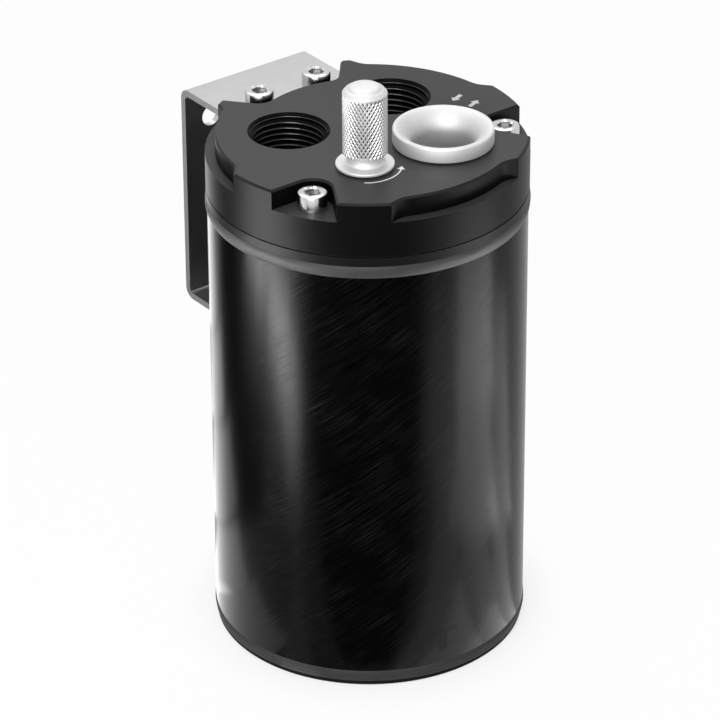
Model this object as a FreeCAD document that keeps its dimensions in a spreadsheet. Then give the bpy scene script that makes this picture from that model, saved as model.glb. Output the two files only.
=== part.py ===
import FreeCAD, Part
import math
import os
import Sketcher

# Oil catch can: a welded round can, a screwed billet lid with two hose ports and
# a breather outlet, a folded sheet bracket and a dipstick that lifts out.
# Frame: origin at the centre of the underside, +Z up, the bracket towards +Y.
# Lengths are millimetres, diameters and angles (degrees) as a maker reads them.

sizes = [
    ("can_height", 144.0),
    ("tube_diameter", 93.4),
    ("tube_wall", 3.0),
    ("spigot_gap", 0.1),
    ("weld_width", 3.8),
    ("weld_depth", 1.6),
    ("weld_crown_radius", 7.0),
    ("base_step", 0.4),
    ("base_plate_thickness", 3.5),
    ("base_spigot_height", 4.5),
    ("edge_chamfer", 0.6),
    ("flange_plate_thickness", 4.7),
    ("flange_spigot_height", 9.3),
    ("flange_bore_inset", 5.6),
    ("lid_overhang", 0.3),
    ("lid_height", 17.0),
    ("relief_depth", 6.0),
    ("scallop_depth", 3.0),
    ("scallop_half_angle", 29.0),
    ("scallop_wall_angle", 78.6),
    ("scallop_corner_radius", 7.0),
    ("notch_opening_angle", 30.0),
    ("notch_side_gap", 1.45),
    ("recess_half_angle", 27.5),
    ("recess_wall_angle", 40.0),
    ("recess_inset", 5.6),
    ("recess_corner_radius", 4.6),
    ("tab_tip_radius", 1.0),
    ("joint_chamfer", 0.42),
    ("screw_inset", 7.0),
    ("lid_screw_angle", 30.0),
    ("bracket_screw_angle", 15.0),
    ("screw_diameter", 5.0),
    ("screw_length", 20.0),
    ("screw_head_diameter", 8.5),
    ("screw_head_height", 5.0),
    ("screw_socket_width", 4.0),
    ("screw_socket_depth", 2.5),
    ("screw_hole_gap", 0.2),
    ("thread_gap", 0.05),
    ("port_diameter", 22.2),
    ("port_angle", 35.9),
    ("port_edge_gap", 0.64),
    ("port_chamfer", 0.9),
    ("outlet_angle", 58.6),
    ("outlet_diameter", 29.3),
    ("outlet_throat_diameter", 18.2),
    ("outlet_rim_height", 4.5),
    ("outlet_rim_width", 1.3),
    ("outlet_bell_depth", 6.2),
    ("outlet_gap", 0.5),
    ("outlet_stem_length", 19.0),
    ("seal_squeeze", 0.3),
    ("lid_seal_inset", 4.3),
    ("lid_seal_cord", 1.8),
    ("outlet_seal_cord", 1.9),
    ("dipstick_seal_cord", 1.8),
    ("seal_room", 0.3),
    ("dipstick_seat_room", 0.6),
    ("bracket_sheet", 2.0),
    ("bracket_width", 43.6),
    ("bracket_standoff", 15.5),
    ("bracket_drop", 70.0),
    ("bracket_bend_radius", 1.4),
    ("bracket_corner_gap", 0.4),
    ("bracket_corner_radius", 4.2),
    ("bracket_lip_gap", 0.6),
    ("bracket_hole_diameter", 6.4),
    ("bracket_hole_spacing", 25.0),
    ("bracket_hole_drop", 11.3),
    ("dipstick_spacing", 26.84),
    ("dipstick_step", 1.69),
    ("knob_diameter", 12.8),
    ("knob_height", 25.5),
    ("knob_grip_start", 4.8),
    ("knob_shoulder_height", 2.3),
    ("knob_shoulder_width", 1.0),
    ("knob_cap_diameter", 9.4),
    ("knob_cap_height", 1.1),
    ("knob_neck_diameter", 10.6),
    ("knob_flange_diameter", 16.9),
    ("knob_flange_thickness", 1.0),
    ("knob_flare_ease", 1.125),
    ("knob_lift", 0.5),
    ("knob_stem_diameter", 9.9),
    ("knob_stem_length", 12.0),
    ("rod_diameter", 4.0),
    ("rod_grip_length", 8.0),
    ("rod_end_height", 14.0),
    ("rod_pass_gap", 1.0),
    ("level_groove_depth", 0.4),
    ("level_groove_width", 1.2),
    ("level_low", 14.0),
    ("level_step", 20.0),
    ("post_inset", 5.4),
    ("post_side_angle", 15.0),
    ("post_diameter", 6.0),
    ("post_length", 27.0),
    ("stud_diameter", 4.0),
    ("stud_length", 6.0),
    ("stud_hole_spare", 1.0),
    ("baffle_edge_gap", 1.1),
    ("baffle_sheet", 2.0),
    ("baffle_hole_diameter", 5.0),
    ("baffle_hole_inset", 6.3),
    ("baffle_row_step", 6.5),
    ("pad_thickness", 14.0),
    ("pad_edge_gap", 1.6),
    ("pad_room", 0.3),
    ("baffle_screw_length", 8.0),
    ("baffle_head_diameter", 7.0),
    ("baffle_head_height", 2.4),
    ("baffle_socket_width", 3.0),
    ("baffle_socket_depth", 1.2),
    ("drain_inset", 17.7),
    ("drain_thread_diameter", 12.0),
    ("drain_head_diameter", 17.0),
    ("drain_head_height", 3.0),
    ("drain_pocket_depth", 4.2),
    ("drain_pocket_gap", 0.6),
    ("drain_seal_thickness", 0.8),
    ("drain_thread_length", 3.6),
    ("drain_socket_width", 6.0),
    ("drain_socket_depth", 2.0),
]

doc = FreeCAD.newDocument("oil_catch_can")
sheet = doc.addObject("Spreadsheet::Sheet", "Sizes")
for row, (alias, number) in enumerate(sizes, 1):
    sheet.set("A%d" % row, alias)
    sheet.set("B%d" % row, str(number))
    sheet.setAlias("B%d" % row, alias)
doc.recompute()


# A length or angle that carries both its number and the sheet formula behind it,
# so that a sketch starts near its solution and is then held by the formula.
class Size:
    def __init__(self, number, formula):
        self.number = number
        self.formula = formula

    def __add__(self, other):
        other = as_size(other)
        return Size(self.number + other.number, "(%s + %s)" % (self.formula, other.formula))

    def __sub__(self, other):
        other = as_size(other)
        return Size(self.number - other.number, "(%s - %s)" % (self.formula, other.formula))

    def __mul__(self, other):
        other = as_size(other)
        return Size(self.number * other.number, "(%s * %s)" % (self.formula, other.formula))

    def __truediv__(self, other):
        other = as_size(other)
        return Size(self.number / other.number, "(%s / %s)" % (self.formula, other.formula))

    def __neg__(self):
        return Size(-self.number, "(0 - %s)" % self.formula)


def as_size(value):
    return value if isinstance(value, Size) else Size(float(value), repr(float(value)))


def sine(angle):
    angle = as_size(angle)
    return Size(math.sin(math.radians(angle.number)), "sin(%s)" % angle.formula)


def cosine(angle):
    angle = as_size(angle)
    return Size(math.cos(math.radians(angle.number)), "cos(%s)" % angle.formula)


def root(value):
    return Size(math.sqrt(value.number), "sqrt(%s)" % value.formula)


given = {alias: Size(number, "Sizes." + alias) for alias, number in sizes}


def bind(item, **bound):
    for name, size in bound.items():
        item.setExpression(name, as_size(size).formula)


def place(item, across=0, along=0, height=0):
    for axis, size in zip("xyz", (across, along, height)):
        item.setExpression(".Placement.Base." + axis, as_size(size).formula)


# Sketches

def new_body(label):
    body = doc.addObject("PartDesign::Body", label)
    body.Label = label
    return body


def sketch_on(body, name, role, height=0, turn=0):
    plane = next(item for item in body.Origin.OriginFeatures if item.Role == role)
    sketch = body.newObject("Sketcher::SketchObject", name)
    sketch.AttachmentSupport = [(plane, "")]
    sketch.MapMode = "FlatFace"
    height, turn = as_size(height), as_size(turn)
    spin = FreeCAD.Rotation(FreeCAD.Vector(0, 0, 1), turn.number)
    sketch.AttachmentOffset = FreeCAD.Placement(FreeCAD.Vector(0, 0, height.number), spin)
    sketch.setExpression(".AttachmentOffset.Base.z", height.formula)
    if turn.number:
        sketch.setExpression(".AttachmentOffset.Rotation.Angle", turn.formula)
    return sketch


def hold(sketch, kind, size, *point):
    index = sketch.addConstraint(Sketcher.Constraint(kind, *point, size.number))
    sketch.setExpression("Constraints[%d]" % index, size.formula)


def hold_point(sketch, geometry, position, x, y):
    hold(sketch, "DistanceX", x, -1, 1, geometry, position)
    hold(sketch, "DistanceY", y, -1, 1, geometry, position)


def circle(sketch, x, y, diameter):
    x, y, diameter = as_size(x), as_size(y), as_size(diameter)
    shape = Part.Circle(FreeCAD.Vector(x.number, y.number, 0), FreeCAD.Vector(0, 0, 1), diameter.number / 2)
    geometry = sketch.addGeometry(shape)
    hold_point(sketch, geometry, 3, x, y)
    hold(sketch, "Diameter", diameter, geometry)


# A closed outline through corners (x, y). A corner (x, y, radius) leads to the next
# one along an arc: a positive radius turns left, a negative one turns right.
def outline(sketch, corners):
    corners = [tuple(as_size(part) for part in corner) for corner in corners]
    first = sketch.GeometryCount
    ends = []
    for index, corner in enumerate(corners):
        follower = corners[(index + 1) % len(corners)]
        start = FreeCAD.Vector(corner[0].number, corner[1].number, 0)
        end = FreeCAD.Vector(follower[0].number, follower[1].number, 0)
        if len(corner) == 2:
            sketch.addGeometry(Part.LineSegment(start, end))
            ends.append((1, 2))
            continue
        radius = corner[2].number
        chord = end - start
        side = FreeCAD.Vector(-chord.y, chord.x, 0).normalize()
        reach = math.sqrt(radius * radius - chord.Length * chord.Length / 4)
        centre = (start + end) / 2 + side * math.copysign(reach, radius)
        from_angle = math.atan2(start.y - centre.y, start.x - centre.x)
        to_angle = math.atan2(end.y - centre.y, end.x - centre.x)
        if radius < 0:
            from_angle, to_angle = to_angle, from_angle
        round_path = Part.Circle(centre, FreeCAD.Vector(0, 0, 1), abs(radius))
        sketch.addGeometry(Part.ArcOfCircle(round_path, from_angle, to_angle))
        ends.append((1, 2) if radius > 0 else (2, 1))
    for index, corner in enumerate(corners):
        geometry = first + index
        after = (index + 1) % len(corners)
        joint = Sketcher.Constraint("Coincident", geometry, ends[index][1], first + after, ends[after][0])
        sketch.addConstraint(joint)
        hold_point(sketch, geometry, ends[index][0], corner[0], corner[1])
        if len(corner) == 3:
            radius = corner[2] if corner[2].number > 0 else -corner[2]
            hold(sketch, "Radius", radius, geometry)


def hexagon(sketch, x, y, width):
    reach = width / math.sqrt(3)
    outline(sketch, [(reach * math.cos(math.radians(60 * turn)) + x,
                      reach * math.sin(math.radians(60 * turn)) + y) for turn in range(6)])


# Features

def pad(body, name, sketch, length, midplane=False):
    feature = body.newObject("PartDesign::Pad", name)
    feature.Profile = sketch
    feature.Midplane = midplane
    bind(feature, Length=length)
    return feature


def pocket(body, name, sketch, depth, upwards=False, midplane=False):
    feature = body.newObject("PartDesign::Pocket", name)
    feature.Profile = sketch
    feature.Reversed = upwards
    feature.Midplane = midplane
    bind(feature, Length=depth)
    return feature


def revolve(body, name, sketch, kind="Revolution"):
    feature = body.newObject("PartDesign::" + kind, name)
    feature.Profile = sketch
    feature.ReferenceAxis = (sketch, ["V_Axis"])
    feature.Angle = whole_turn
    return feature


def turned(label, corners):
    body = new_body(label)
    sketch = sketch_on(body, label + "_section", "XZ_Plane")
    outline(sketch, corners)
    revolve(body, label + "_turned", sketch)
    return body


def pattern(body, name, feature, count, angle):
    copies = body.newObject("PartDesign::PolarPattern", name)
    copies.Originals = [feature]
    copies.Axis = (feature.Profile[0], ["N_Axis"])
    bind(copies, Angle=angle)
    copies.Occurrences = count
    body.Tip = copies
    return copies


def edges_where(body, wanted):
    doc.recompute()
    return ["Edge%d" % number for number, edge in enumerate(body.Tip.Shape.Edges, 1) if wanted(edge)]


def edge_feature(body, name, kind, size, wanted):
    names = edges_where(body, wanted)
    if not names:
        raise RuntimeError("no edge found for " + name)
    finished = body.Tip
    feature = body.newObject("PartDesign::" + kind, name)
    feature.Base = (finished, names)
    bind(feature, **{"Radius" if kind == "Fillet" else "Size": size})
    body.Tip = feature
    return feature


near = 1e-3
quarter_turn, half_turn, whole_turn = 90, 180, 360


def is_upright(edge):
    first, last = edge.Vertexes[0].Point, edge.Vertexes[-1].Point
    return abs(first.x - last.x) < near and abs(first.y - last.y) < near and abs(first.z - last.z) > near


def is_round(edge, diameter):
    return edge.Curve.TypeId == "Part::GeomCircle" and abs(edge.Curve.Radius * 2 - diameter) < near


def is_level(edge, height):
    return edge.BoundBox.ZLength < near and abs(edge.BoundBox.ZMin - height) < near


def edge_radius(edge):
    point = edge.Vertexes[0].Point
    return math.hypot(point.x, point.y)


# Sizes that several pieces share
tube_radius = given["tube_diameter"] / 2
tube_inner = tube_radius - given["tube_wall"]
spigot_radius = tube_inner - given["spigot_gap"]
weld_half = given["weld_width"] / 2
weld_root = tube_radius - given["weld_depth"]
base_seam = given["base_plate_thickness"]
flange_seam = given["can_height"] - given["flange_plate_thickness"]
base_radius = tube_radius - given["base_step"]
lid_radius = tube_radius + given["lid_overhang"]
screw_circle = lid_radius - given["screw_inset"]
bore_radius = screw_circle - given["flange_bore_inset"]
recess_radius = screw_circle - given["recess_inset"]
seal_radius = screw_circle - given["lid_seal_inset"]
post_circle = bore_radius - given["post_inset"]
bracket_back = lid_radius + given["bracket_standoff"]
lid_top = given["can_height"] + given["lid_height"]
relief_floor = lid_top - given["relief_depth"]
screw_hole = given["screw_diameter"] + given["screw_hole_gap"] * 2
thread_hole = given["screw_diameter"] + given["thread_gap"] * 2
stem_diameter = given["port_diameter"] - given["thread_gap"] * 2
dipstick_hole = given["knob_stem_diameter"] + given["thread_gap"] * 2
stud_hole = given["stud_diameter"] + given["thread_gap"] * 2
rod_hole = given["rod_diameter"] + given["rod_pass_gap"] * 2
baffle_top = given["can_height"] - given["post_length"] + given["baffle_sheet"]
notch_radius = given["screw_head_diameter"] / 2 + given["notch_side_gap"]


def on_circle(radius, angle):
    return radius * cosine(angle), radius * sine(angle)


lid_screw_places = [on_circle(screw_circle, -given["lid_screw_angle"]),
                    on_circle(screw_circle, given["lid_screw_angle"] - half_turn)]
bracket_screw_places = [on_circle(screw_circle, as_size(quarter_turn) - given["bracket_screw_angle"]),
                        on_circle(screw_circle, given["bracket_screw_angle"] + quarter_turn)]
post_places = {"rear": on_circle(post_circle, quarter_turn),
               "right": on_circle(post_circle, -given["post_side_angle"]),
               "left": on_circle(post_circle, given["post_side_angle"] - half_turn)}
outlet_place = on_circle(bore_radius - given["port_diameter"] / 2, -given["outlet_angle"])
dipstick_place = (outlet_place[0] - given["dipstick_spacing"], outlet_place[1] + given["dipstick_step"])
drain_place = (0, given["drain_inset"] - tube_inner)
port_circle = bore_radius - given["port_diameter"] / 2 - given["port_edge_gap"]
port_places = [on_circle(port_circle, given["port_angle"]),
               on_circle(port_circle, as_size(half_turn) - given["port_angle"])]


# Welded can

def make_tube():
    low, high = base_seam, flange_seam
    turned("can_tube", [(tube_inner, low), (weld_root, low), (tube_radius, low + weld_half),
                        (tube_radius, high - weld_half), (weld_root, high), (tube_inner, high)])


def make_base():
    edge = given["edge_chamfer"]
    radius = base_radius
    top = base_seam + given["base_spigot_height"]
    body = turned("base_plate", [(0, 0), (radius - edge, 0), (radius, edge), (radius, base_seam - weld_half),
                                 (weld_root, base_seam), (spigot_radius, base_seam),
                                 (spigot_radius, top - edge), (spigot_radius - edge, top), (0, top)])
    thread = sketch_on(body, "drain_thread_place", "XY_Plane")
    circle(thread, *drain_place, given["drain_thread_diameter"] + given["thread_gap"] * 2)
    pocket(body, "drain_thread", thread, top, upwards=True)
    hollow = sketch_on(body, "drain_pocket_place", "XY_Plane")
    circle(hollow, *drain_place, given["drain_head_diameter"] + given["drain_pocket_gap"] * 2)
    pocket(body, "drain_pocket", hollow, given["drain_pocket_depth"], upwards=True)


def make_flange():
    low = flange_seam - given["flange_spigot_height"]
    high = given["can_height"]
    bore = bore_radius
    edge = given["edge_chamfer"]
    body = turned("top_flange", [(bore, low), (spigot_radius - edge, low), (spigot_radius, low + edge),
                                 (spigot_radius, flange_seam), (weld_root, flange_seam),
                                 (lid_radius, flange_seam + weld_half), (lid_radius, high), (bore, high)])
    holes = sketch_on(body, "screw_hole_places", "XY_Plane", high)
    for x, y in lid_screw_places + bracket_screw_places:
        circle(holes, x, y, thread_hole)
    pocket(body, "screw_holes", holes, given["flange_plate_thickness"] + given["flange_spigot_height"])


def make_weld(label, seam, low_radius, high_radius):
    turned(label, [(weld_root, seam), (low_radius, seam - weld_half, given["weld_crown_radius"]),
                   (high_radius, seam + weld_half)])


# Lid

# Side wall of a relief in the lid that opens to the rim, as its inner corner and a
# point beyond the rim. It meets the rim at half_angle and leans out by wall_angle.
def relief_wall(half_angle, wall_angle, inner_radius, gap=0):
    lean = wall_angle - half_angle
    offset = lid_radius * sine(lean) + gap
    span = lid_radius * cosine(lean) - root(inner_radius * inner_radius - offset * offset)
    wall_x, wall_y = sine(wall_angle), cosine(wall_angle)
    rim_x = lid_radius * sine(half_angle) - wall_y * gap
    rim_y = lid_radius * cosine(half_angle) + wall_x * gap
    inner = (rim_x - wall_x * span, rim_y - wall_y * span)
    outer = (rim_x + wall_x * given["relief_depth"], rim_y + wall_y * given["relief_depth"])
    return inner, outer


def cut_relief(body, name, turn, half_angle, wall_angle, inner_radius):
    sketch = sketch_on(body, name + "_outline", "XY_Plane", given["lid_height"], turn)
    inner, outer = relief_wall(half_angle, wall_angle, inner_radius)
    beyond = lid_radius + given["relief_depth"] * 2
    outline(sketch, [(inner[0], inner[1], inner_radius), (-inner[0], inner[1]), (-outer[0], outer[1]),
                     (-outer[0], beyond), (outer[0], beyond), outer])
    return pocket(body, name, sketch, given["relief_depth"])


# Notch round a lid screw: a wall concentric with the screw, and two sides that
# leave it as tangents and open towards the rim.
def cut_notch(body, name, turn):
    sketch = sketch_on(body, name + "_outline", "XY_Plane", given["lid_height"], turn)
    opening = given["notch_opening_angle"]
    side_x, side_y = notch_radius * cosine(opening), notch_radius * sine(opening)
    centre, spread = screw_circle, lid_radius
    far_x, far_y = side_x + sine(opening) * spread, centre - side_y + cosine(opening) * spread
    outline(sketch, [(side_x, centre - side_y), (far_x, far_y), (-far_x, far_y),
                     (-side_x, centre - side_y, notch_radius), (0, centre - notch_radius, notch_radius)])
    return pocket(body, name, sketch, given["relief_depth"])


def make_lid():
    body = new_body("lid")
    place(body, height=given["can_height"])
    top = given["lid_height"]
    disc = sketch_on(body, "lid_disc", "XY_Plane")
    circle(disc, 0, 0, lid_radius * 2)
    pad(body, "lid_blank", disc, top)
    scallop_wall = lid_radius - given["scallop_depth"]
    scallop = cut_relief(body, "scallop", -60, given["scallop_half_angle"],
                         given["scallop_wall_angle"], scallop_wall)
    pattern(body, "scallops", scallop, 3, whole_turn)
    notch = cut_notch(body, "screw_notch", given["lid_screw_angle"] + quarter_turn)
    pattern(body, "screw_notches", notch, 2, as_size(half_turn) - given["lid_screw_angle"] * 2)
    cut_relief(body, "bracket_recess", 0, given["recess_half_angle"],
               given["recess_wall_angle"], recess_radius)
    floor = given["lid_height"].number - given["relief_depth"].number
    inner_wall, rim = scallop_wall.number, lid_radius.number

    def at_radius(edge, radius):
        return is_upright(edge) and edge.BoundBox.ZMin > floor - near and abs(edge_radius(edge) - radius) < near

    edge_feature(body, "scallop_corners", "Fillet", given["scallop_corner_radius"],
                 lambda edge: at_radius(edge, inner_wall))
    edge_feature(body, "recess_corners", "Fillet", given["recess_corner_radius"],
                 lambda edge: at_radius(edge, recess_radius.number))
    edge_feature(body, "tab_tips", "Fillet", given["tab_tip_radius"],
                 lambda edge: at_radius(edge, rim) and edge.Vertexes[0].Point.y > recess_radius.number)
    edge_feature(body, "top_edge", "Chamfer", given["edge_chamfer"],
                 lambda edge: is_level(edge, top.number))
    edge_feature(body, "joint_edge", "Chamfer", given["joint_chamfer"],
                 lambda edge: is_round(edge, rim * 2) and is_level(edge, 0))
    make_lid_holes(body, top)
    return body


def make_lid_holes(body, top):
    ports = sketch_on(body, "port_places", "XY_Plane", top)
    for x, y in port_places + [outlet_place]:
        circle(ports, x, y, given["port_diameter"])
    pocket(body, "ports", ports, top)
    mouths = sketch_on(body, "outlet_seat_place", "XY_Plane", top)
    circle(mouths, *outlet_place, given["port_diameter"] + (given["outlet_seal_cord"] + given["seal_room"]) * 2)
    seat_depth = given["outlet_seal_cord"] - given["seal_squeeze"] - given["outlet_gap"]
    pocket(body, "outlet_seat", mouths, seat_depth)
    stick = sketch_on(body, "dipstick_hole_place", "XY_Plane", top)
    circle(stick, *dipstick_place, dipstick_hole)
    pocket(body, "dipstick_hole", stick, top)
    seat = sketch_on(body, "dipstick_seat_place", "XY_Plane", top)
    seat_width = given["dipstick_seal_cord"] + given["dipstick_seat_room"]
    circle(seat, *dipstick_place, dipstick_hole + seat_width * 2)
    pocket(body, "dipstick_seat", seat, given["dipstick_seal_cord"] - given["seal_squeeze"]
           + given["seal_room"] - given["knob_lift"])
    screws = sketch_on(body, "screw_places", "XY_Plane", top)
    for x, y in lid_screw_places + bracket_screw_places:
        circle(screws, x, y, screw_hole)
    pocket(body, "screw_clearance", screws, top)
    studs = sketch_on(body, "stud_places", "XY_Plane")
    for x, y in post_places.values():
        circle(studs, x, y, stud_hole)
    pocket(body, "stud_holes", studs, given["stud_length"] + given["stud_hole_spare"], upwards=True)
    groove = sketch_on(body, "seal_groove_section", "XZ_Plane")
    half = given["lid_seal_cord"] / 2
    depth = given["lid_seal_cord"] - given["seal_squeeze"]
    outline(groove, [(seal_radius - half, 0), (seal_radius + half, 0),
                     (seal_radius + half, depth), (seal_radius - half, depth)])
    revolve(body, "seal_groove", groove, "Groove")
    edge_feature(body, "port_mouths", "Chamfer", given["port_chamfer"],
                 lambda edge: is_round(edge, given["port_diameter"].number) and is_level(edge, top.number))


# Squeezed rubber ring: a round cord pressed flat above and below
def make_seal(label, middle_radius, cord, across=0, along=0, height=0):
    half_height = (cord - given["seal_squeeze"]) / 2
    flat = root(cord * cord / 4 - half_height * half_height)
    radius = cord / 2
    body = turned(label, [(middle_radius - flat, -half_height), (middle_radius + flat, -half_height, radius),
                          (middle_radius + flat, half_height), (middle_radius - flat, half_height, radius)])
    place(body, across, along, as_size(height) + half_height)


# Screws

def make_cap_screw(label, spot, seat):
    body = new_body(label)
    head = sketch_on(body, label + "_head_circle", "XY_Plane")
    circle(head, 0, 0, given["screw_head_diameter"])
    pad(body, label + "_head", head, given["screw_head_height"])
    shank = sketch_on(body, label + "_shank_circle", "XY_Plane", -given["screw_length"])
    circle(shank, 0, 0, given["screw_diameter"])
    pad(body, label + "_shank", shank, given["screw_length"])
    socket = sketch_on(body, label + "_socket_hexagon", "XY_Plane", given["screw_head_height"])
    hexagon(socket, 0, 0, given["screw_socket_width"])
    pocket(body, label + "_socket", socket, given["screw_socket_depth"])
    edge_feature(body, label + "_rim", "Chamfer", given["edge_chamfer"],
                 lambda edge: is_round(edge, given["screw_head_diameter"].number)
                 and is_level(edge, given["screw_head_height"].number))
    edge_feature(body, label + "_point", "Chamfer", given["edge_chamfer"],
                 lambda edge: is_round(edge, given["screw_diameter"].number)
                 and is_level(edge, -given["screw_length"].number))
    place(body, spot[0], spot[1], seat)


# Bracket

def make_bracket():
    body = new_body("bracket")
    place(body, height=relief_floor)
    sheet_width, half_width = given["bracket_sheet"], given["bracket_width"] / 2
    inside = given["bracket_bend_radius"]
    outside = inside + sheet_width
    back, top = bracket_back, sheet_width
    bottom = sheet_width - given["bracket_drop"]
    front = recess_radius
    profile = sketch_on(body, "bracket_profile", "YZ_Plane")
    outline(profile, [(front, 0), (back - outside, 0, -inside), (back - sheet_width, -inside),
                      (back - sheet_width, bottom + outside, -inside),
                      (back - outside, bottom + sheet_width), (0, bottom + sheet_width), (0, bottom),
                      (back - outside, bottom, outside), (back, bottom + outside),
                      (back, top - outside, outside), (back - outside, top), (front, top)])
    pad(body, "bracket_sheet_metal", profile, given["bracket_width"], midplane=True)
    lip_cut = sketch_on(body, "lip_arc", "XY_Plane", bottom + sheet_width)
    circle(lip_cut, 0, 0, given["tube_diameter"] + given["bracket_lip_gap"] * 2)
    pocket(body, "lip_cut", lip_cut, sheet_width)
    plan = sketch_on(body, "flange_plan", "XY_Plane", top)
    inner_radius = recess_radius + given["bracket_corner_gap"]
    inner, outer = relief_wall(given["recess_half_angle"], given["recess_wall_angle"],
                               inner_radius, given["bracket_corner_gap"])
    outline(plan, [(inner[0], inner[1], inner_radius), (-inner[0], inner[1]), (-outer[0], outer[1]),
                   (-outer[0] - half_width, outer[1]), (-outer[0] - half_width, 0),
                   (outer[0] + half_width, 0), (outer[0] + half_width, outer[1]), outer])
    pocket(body, "flange_trim", plan, sheet_width)
    edge_feature(body, "flange_corners", "Fillet", given["bracket_corner_radius"],
                 lambda edge: is_upright(edge) and edge.BoundBox.ZMin > -near
                 and abs(edge_radius(edge) - inner_radius.number) < near)
    screws = sketch_on(body, "bracket_screw_places", "XY_Plane", top)
    for x, y in bracket_screw_places:
        circle(screws, x, y, screw_hole)
    pocket(body, "bracket_screw_holes", screws, sheet_width)
    holes = sketch_on(body, "mounting_hole_places", "XZ_Plane", -back)
    for side in (-1, 1):
        circle(holes, given["bracket_hole_spacing"] * side / 2, top - given["bracket_hole_drop"],
               given["bracket_hole_diameter"])
    pocket(body, "mounting_holes", holes, sheet_width, upwards=True)


# Outlet bell with its threaded stem

def make_outlet():
    rim_radius = given["outlet_diameter"] / 2
    throat = given["outlet_throat_diameter"] / 2
    gap, height = given["outlet_gap"], given["outlet_rim_height"]
    stem = stem_diameter / 2
    half_rim = given["outlet_rim_width"] / 2
    bell_width = rim_radius - given["outlet_rim_width"] - throat
    bell_drop = given["outlet_bell_depth"]
    bell_radius = (bell_width * bell_width + bell_drop * bell_drop) / bell_width / 2
    low = gap - given["outlet_stem_length"]
    edge = given["edge_chamfer"]
    body = turned("outlet_bell", [(throat, low), (stem - edge, low), (stem, low + edge), (stem, gap),
                                  (rim_radius - edge / 2, gap), (rim_radius, gap + edge / 2),
                                  (rim_radius, height - half_rim, half_rim), (rim_radius - half_rim, height),
                                  (rim_radius - given["outlet_rim_width"], height, bell_radius),
                                  (throat, height - bell_drop)])
    place(body, *outlet_place, lid_top)


# Dipstick: flanged knob with a straight grip, and a rod with two level grooves

def make_knob():
    edge = given["edge_chamfer"]
    gap = given["knob_lift"]
    grip, neck = given["knob_diameter"] / 2, given["knob_neck_diameter"] / 2
    flange, stem = given["knob_flange_diameter"] / 2, given["knob_stem_diameter"] / 2
    bore = given["rod_diameter"] / 2 + given["thread_gap"] / 2
    flange_top = gap + given["knob_flange_thickness"]
    cap = given["knob_cap_diameter"] / 2
    grip_top = given["knob_height"] - given["knob_shoulder_height"]
    cap_foot = given["knob_height"] - given["knob_cap_height"]
    low = gap - given["knob_stem_length"]
    flare_height = given["knob_grip_start"] - edge - flange_top
    flare_width = flange - edge - neck
    flare = (flare_width * flare_width / flare_height + flare_height) / 2 * given["knob_flare_ease"]
    body = turned("dipstick_knob", [(0, low + given["rod_grip_length"]), (bore, low + given["rod_grip_length"]),
                                    (bore, low), (stem - edge, low), (stem, low + edge), (stem, gap),
                                    (flange - edge / 2, gap), (flange, gap + edge / 2),
                                    (flange, flange_top - edge / 2), (flange - edge, flange_top, -flare),
                                    (neck, given["knob_grip_start"] - edge), (grip, given["knob_grip_start"]),
                                    (grip, grip_top), (grip - given["knob_shoulder_width"], cap_foot),
                                    (cap, cap_foot), (cap, given["knob_height"] - edge),
                                    (cap - edge, given["knob_height"]), (0, given["knob_height"])])
    place(body, *dipstick_place, lid_top)


def make_rod():
    radius = given["rod_diameter"] / 2
    top = lid_top + given["knob_lift"] - given["knob_stem_length"] + given["rod_grip_length"]
    end = given["rod_end_height"]
    groove = radius - given["level_groove_depth"]
    corners = [(0, end), (radius - given["edge_chamfer"], end), (radius, end + given["edge_chamfer"])]
    for step in range(2):
        level = end + given["level_low"] + given["level_step"] * step
        corners += [(radius, level), (groove, level), (groove, level + given["level_groove_width"]),
                    (radius, level + given["level_groove_width"])]
    corners += [(radius, top), (0, top)]
    body = turned("dipstick_rod", corners)
    place(body, *dipstick_place)


# Baffle under the lid: a drilled plate on three posts that carries the filter pad

def make_post(side, spot):
    radius, stud = given["post_diameter"] / 2, given["stud_diameter"] / 2
    length = given["post_length"] - given["baffle_sheet"]
    tapped = stud_hole / 2
    depth = given["baffle_screw_length"] - given["baffle_sheet"] + given["stud_hole_spare"]
    edge = given["edge_chamfer"]
    tip = given["stud_length"]
    body = turned("baffle_post_" + side, [(tapped, -length), (radius, -length), (radius, 0), (stud, 0),
                                          (stud, tip - edge), (stud - edge, tip), (0, tip),
                                          (0, depth - length), (tapped, depth - length)])
    place(body, *spot, given["can_height"])


def make_baffle_screw(side, spot):
    head, shank = given["baffle_head_diameter"] / 2, given["stud_diameter"] / 2
    height, length = given["baffle_head_height"], given["baffle_screw_length"]
    edge = given["edge_chamfer"]
    label = "baffle_screw_" + side
    body = turned(label, [(0, -height), (head - edge, -height), (head, edge - height), (head, 0), (shank, 0),
                          (shank, length - edge), (shank - edge, length), (0, length)])
    socket = sketch_on(body, label + "_socket_hexagon", "XY_Plane", -height)
    hexagon(socket, 0, 0, given["baffle_socket_width"])
    pocket(body, label + "_socket", socket, given["baffle_socket_depth"], upwards=True)
    place(body, *spot, baffle_top - given["baffle_sheet"])


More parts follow.
